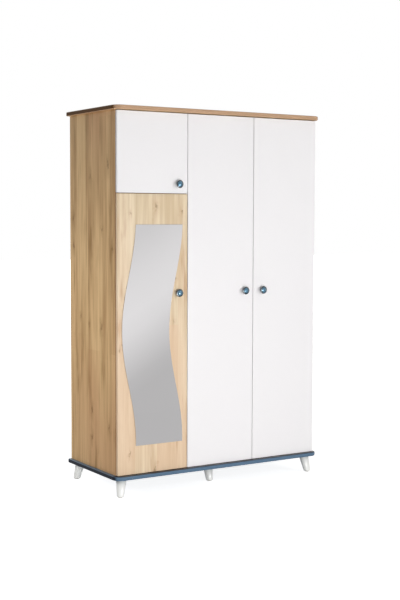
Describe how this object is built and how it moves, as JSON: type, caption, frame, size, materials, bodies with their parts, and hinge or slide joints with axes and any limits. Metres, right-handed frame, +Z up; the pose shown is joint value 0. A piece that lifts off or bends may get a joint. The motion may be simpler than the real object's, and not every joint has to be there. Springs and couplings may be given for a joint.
{
  "type": "wardrobe",
  "caption": "Freestanding three-door wardrobe on splayed legs, with a small top-left door, a wavy mirror on the door under it, round knobs, shelves and a hanging rail.",
  "frame": {"origin": "on the floor, under the middle of the outline seen from above", "axes": "+Z up, +X to the right for someone who faces the doors, and -Y out of the doors towards them"},
  "size_m": [1.294, 0.568, 2],
  "materials": {
    "beech_decor": "printed beech décor on chipboard, satin",
    "blue_foil": "grey-blue foil, semi-gloss",
    "bright_steel": "zinc plated or nickel plated steel",
    "chrome_tube": "chromed steel tube",
    "die_cast_zinc": "die-cast zinc, dull",
    "hardboard": "printed hardboard, matt",
    "pale_plastic": "moulded, matt",
    "beech_dowel": "plain beech",
    "white_front": "white foil, semi-gloss",
    "dark_chrome": "dark chromed",
    "blue_cap": "moulded, glossy",
    "light_beech_decor": "printed light beech décor on chipboard, satin",
    "mirror": "silvered glass",
    "foam_tape": "foam tape",
    "white_lacquer": "white lacquered beech, satin",
    "felt": "felt"
  },
  "bodies": {
    "carcass": {"top_board": "beech_decor", "base_board": "blue_foil", "side_panel_left": "beech_decor", "side_panel_right": "beech_decor", "partition": "beech_decor", "fixed_shelf": "beech_decor", "hat_shelf": "beech_decor", "movable_shelves": "beech_decor", "shelf_pins": "bright_steel", "hanging_rail": "chrome_tube", "rail_flanges": "die_cast_zinc", "back_left": "hardboard", "back_middle": "hardboard", "back_right": "hardboard", "back_joiner": "pale_plastic", "cams": "die_cast_zinc", "cam_bolts": "bright_steel", "dowels": "beech_dowel", "hinge_plates": "bright_steel", "hinge_plate_screws": "bright_steel", "hinge_arms_left": "bright_steel", "hinge_arms_middle": "bright_steel", "hinge_arms_right": "bright_steel", "door_bumpers": "pale_plastic", "leg_front_left": "white_lacquer", "leg_front_middle": "white_lacquer", "leg_front_right": "white_lacquer", "leg_rear_left": "white_lacquer", "leg_rear_middle": "white_lacquer", "leg_rear_right": "white_lacquer", "leg_plates": "bright_steel", "leg_plate_screws": "bright_steel", "leg_bolts": "bright_steel", "leg_glides": "felt"},
    "upper_left_door": {"upper_left_door": "white_front", "upper_left_hinge_cups": "bright_steel", "upper_left_hinge_pins": "bright_steel", "upper_left_knob": "dark_chrome", "upper_left_knob_cap": "blue_cap", "upper_left_knob_screw": "bright_steel"},
    "lower_left_door": {"lower_left_door": "light_beech_decor", "lower_left_hinge_cups": "bright_steel", "lower_left_hinge_pins": "bright_steel", "lower_left_knob": "dark_chrome", "lower_left_knob_cap": "blue_cap", "lower_left_knob_screw": "bright_steel", "mirror_glass": "mirror", "mirror_tape": "foam_tape"},
    "middle_door": {"middle_door": "white_front", "middle_hinge_cups": "bright_steel", "middle_hinge_pins": "bright_steel", "middle_knob": "dark_chrome", "middle_knob_cap": "blue_cap", "middle_knob_screw": "bright_steel"},
    "right_door": {"right_door": "white_front", "right_hinge_cups": "bright_steel", "right_hinge_pins": "bright_steel", "right_knob": "dark_chrome", "right_knob_cap": "blue_cap", "right_knob_screw": "bright_steel"}
  },
  "joints": [
    {"name": "upper_left_hinge", "type": "hinge", "parent": "carcass", "child": "upper_left_door", "pos_m": [-0.616, -0.2498, 1.768], "axis": [0, 0, -1], "range_deg": [0, 95]},
    {"name": "lower_left_hinge", "type": "hinge", "parent": "carcass", "child": "lower_left_door", "pos_m": [-0.616, -0.2498, 0.8375], "axis": [0, 0, -1], "range_deg": [0, 95]},
    {"name": "middle_hinge", "type": "hinge", "parent": "carcass", "child": "middle_door", "pos_m": [-0.19867, -0.2498, 1.0455], "axis": [0, 0, -1], "range_deg": [0, 95]},
    {"name": "right_hinge", "type": "hinge", "parent": "carcass", "child": "right_door", "pos_m": [0.616, -0.2498, 1.0455], "axis": [0, 0, 1], "range_deg": [0, 95]}
  ]
}
